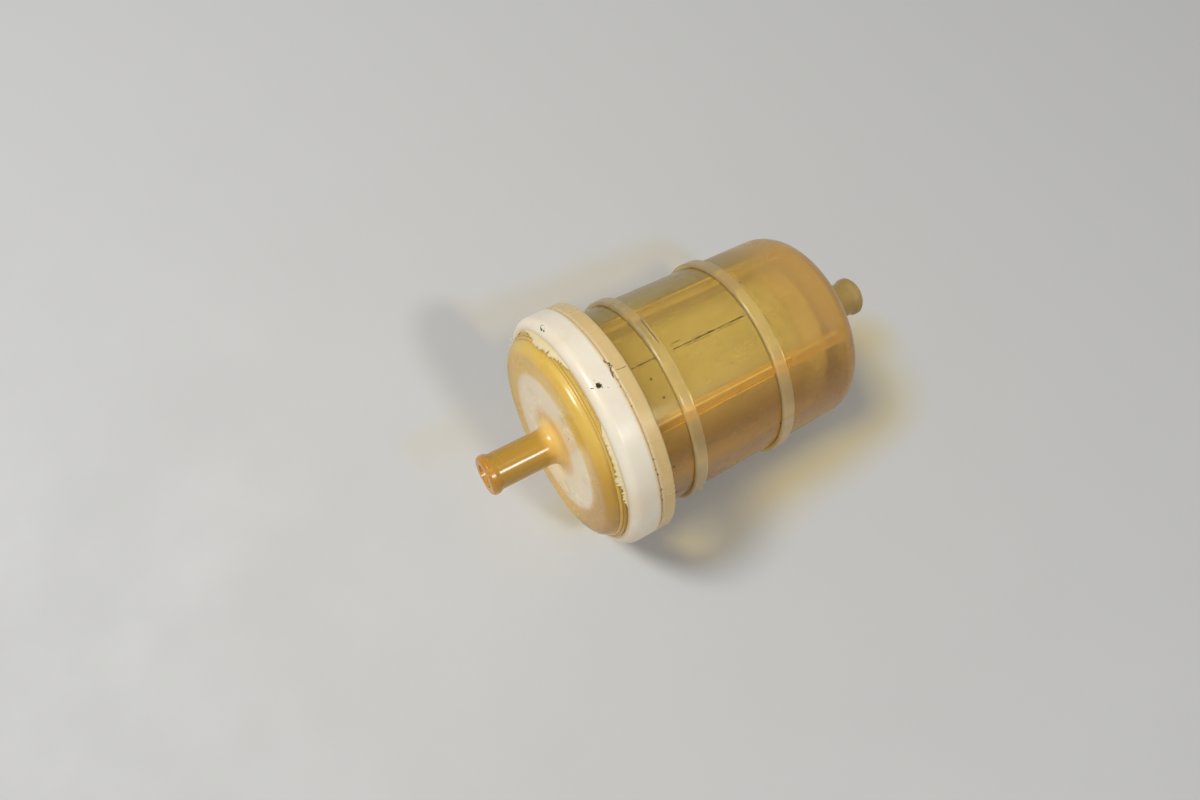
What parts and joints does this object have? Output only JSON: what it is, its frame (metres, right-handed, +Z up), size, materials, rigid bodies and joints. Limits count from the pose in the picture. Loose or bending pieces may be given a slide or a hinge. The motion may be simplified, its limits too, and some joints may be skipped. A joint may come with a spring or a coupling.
{
  "type": "fuel filter",
  "caption": "Translucent inline fuel filter with beaded hose spigots at both ends, a hooped barrel, a moulded joint ring and a pleated paper element inside.",
  "frame": {"origin": "middle of the filter's length, on its axis", "axes": "+X along the axis from the inlet to the outlet, +Z up with the barrel's parting line on top, +Y across"},
  "size_m": [0.0848, 0.046, 0.046],
  "materials": {
    "amber_nylon": "aged translucent amber moulding, worn satin gloss",
    "white_nylon": "opaque off-white moulding",
    "plate_plastic": "plain white moulding",
    "potting_resin": "cast resin, cured",
    "filter_paper": "resin-treated filter paper",
    "sleeve_felt": "bonded non-woven sleeve",
    "clip_metal": "folded strip",
    "core_plastic": "plain moulding",
    "seal_rubber": "black fuel-proof rubber"
  },
  "bodies": {
    "root": {"inlet_cap": "amber_nylon", "outlet_housing": "amber_nylon", "joint_ring": "white_nylon", "element_inlet_plate": "plate_plastic", "element_outlet_plate": "plate_plastic", "inlet_potting": "potting_resin", "outlet_potting": "potting_resin", "pleated_paper": "filter_paper", "outer_sleeve": "sleeve_felt", "seam_clip": "clip_metal", "core_tube": "core_plastic", "outlet_grommet": "seal_rubber"}
  },
  "joints": []
}
